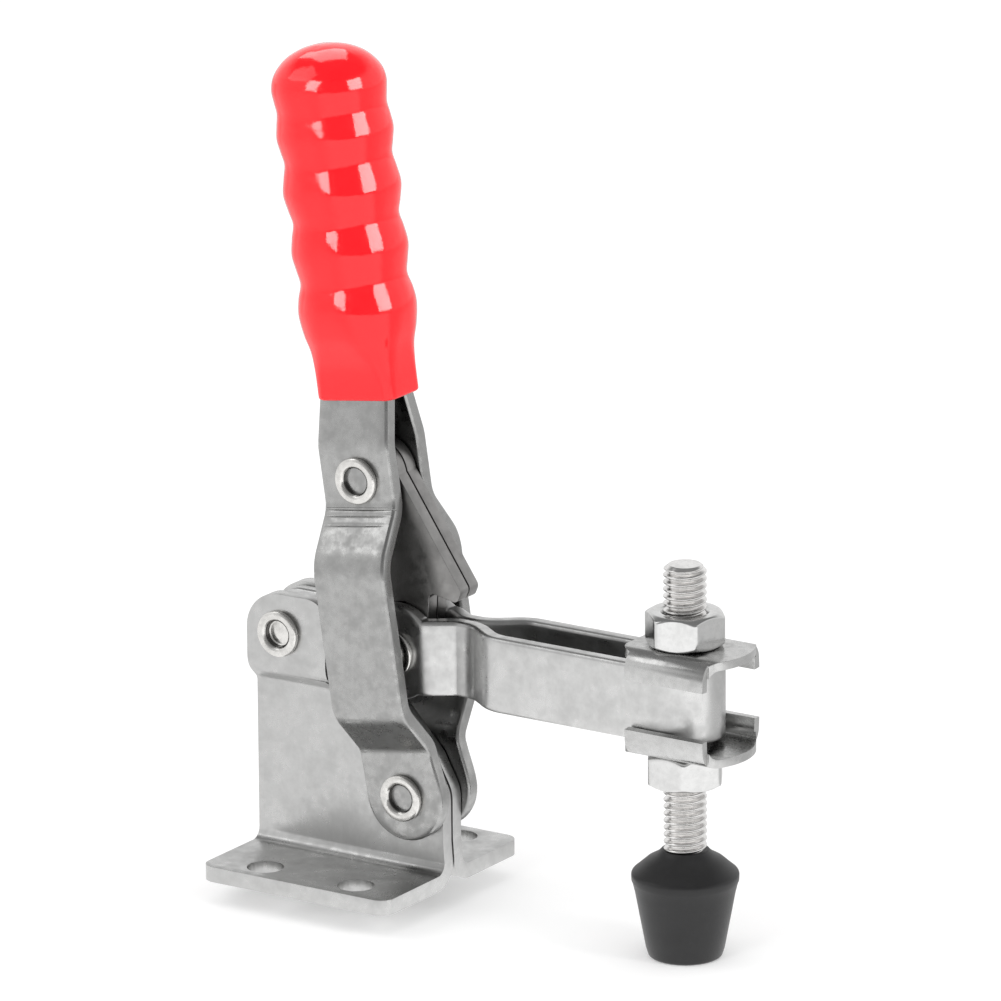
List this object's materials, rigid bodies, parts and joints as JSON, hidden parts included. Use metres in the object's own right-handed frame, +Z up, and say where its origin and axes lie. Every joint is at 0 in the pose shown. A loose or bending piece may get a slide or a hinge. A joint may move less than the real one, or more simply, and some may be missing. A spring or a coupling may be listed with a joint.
{
  "type": "toggle clamp",
  "caption": "Vertical-handle hold-down toggle clamp with a flanged base, slotted open arm, adjustable rubber-tipped clamping screw and red grip.",
  "frame": {"origin": "centre of the four base holes, on the base's mounting plane", "axes": "+X forward along the clamping arm, +Z up out of the mounting plane, +Y to the clamp's left"},
  "size_m": [0.0789, 0.034, 0.1211],
  "materials": {
    "base_sheet": "satin rolled stainless sheet",
    "arm_sheet": "satin rolled stainless sheet",
    "handle_sheet": "satin rolled stainless sheet",
    "link_sheet": "satin rolled stainless sheet",
    "rivet": "bright formed stainless",
    "bush": "turned",
    "washer": "bright pressed stainless",
    "nut": "bright stainless",
    "spindle": "bright rolled thread",
    "grip": "glossy red",
    "rubber_tip": "satin black"
  },
  "bodies": {
    "base": {"base_plate_left": "base_sheet", "base_plate_right": "base_sheet", "arm_pivot_rivet": "rivet", "arm_pivot_bush": "bush", "handle_pivot_rivet": "rivet", "handle_pivot_bush": "bush"},
    "handle": {"handle_plate_left": "handle_sheet", "handle_plate_right": "handle_sheet", "link_handle_rivet": "rivet", "link_handle_bush": "bush", "grip": "grip"},
    "link": {"link_plate_left": "link_sheet", "link_plate_right": "link_sheet"},
    "arm": {"clamping_arm": "arm_sheet", "link_arm_rivet": "rivet", "link_arm_bush": "bush"},
    "carriage": {"upper_flanged_washer": "washer", "lower_flanged_washer": "washer"},
    "upper_nut": {"upper_nut": "nut"},
    "lower_nut": {"lower_nut": "nut"},
    "spindle": {"spindle": "spindle", "rubber_tip": "rubber_tip"}
  },
  "joints": [
    {"name": "handle_swing", "type": "hinge", "parent": "base", "child": "handle", "pos_m": [0.00995, 0, 0.0131], "axis": [0, -1, 0], "range_deg": [0, 55]},
    {"name": "arm_swing", "type": "hinge", "parent": "base", "child": "arm", "pos_m": [-0.01045, 0, 0.0336], "axis": [0, -1, 0], "range_deg": [0, 82.5]},
    {"name": "link_swing", "type": "hinge", "parent": "handle", "child": "link", "pos_m": [0.00305, 0, 0.0578], "axis": [0, -1, 0], "range_deg": [0, 71.5]},
    {"name": "carriage_slide", "type": "slide", "parent": "arm", "child": "carriage", "axis": [-1, 0, 0], "range_m": [0, 0.018]},
    {"name": "spindle_travel", "type": "slide", "parent": "carriage", "child": "spindle", "axis": [0, 0, 1], "range_m": [-0.005, 0.008]},
    {"name": "upper_nut_turn", "type": "hinge", "parent": "carriage", "child": "upper_nut", "pos_m": [0.0533, 0, 0.0436], "axis": [0, 0, 1], "continuous": true},
    {"name": "lower_nut_turn", "type": "hinge", "parent": "carriage", "child": "lower_nut", "pos_m": [0.0533, 0, 0.0238], "axis": [0, 0, 1], "continuous": true}
  ],
  "couplings": [
    {"joint": "arm_swing", "follows": "handle_swing", "ratio": 1.5},
    {"joint": "link_swing", "follows": "handle_swing", "ratio": 1.3}
  ]
}
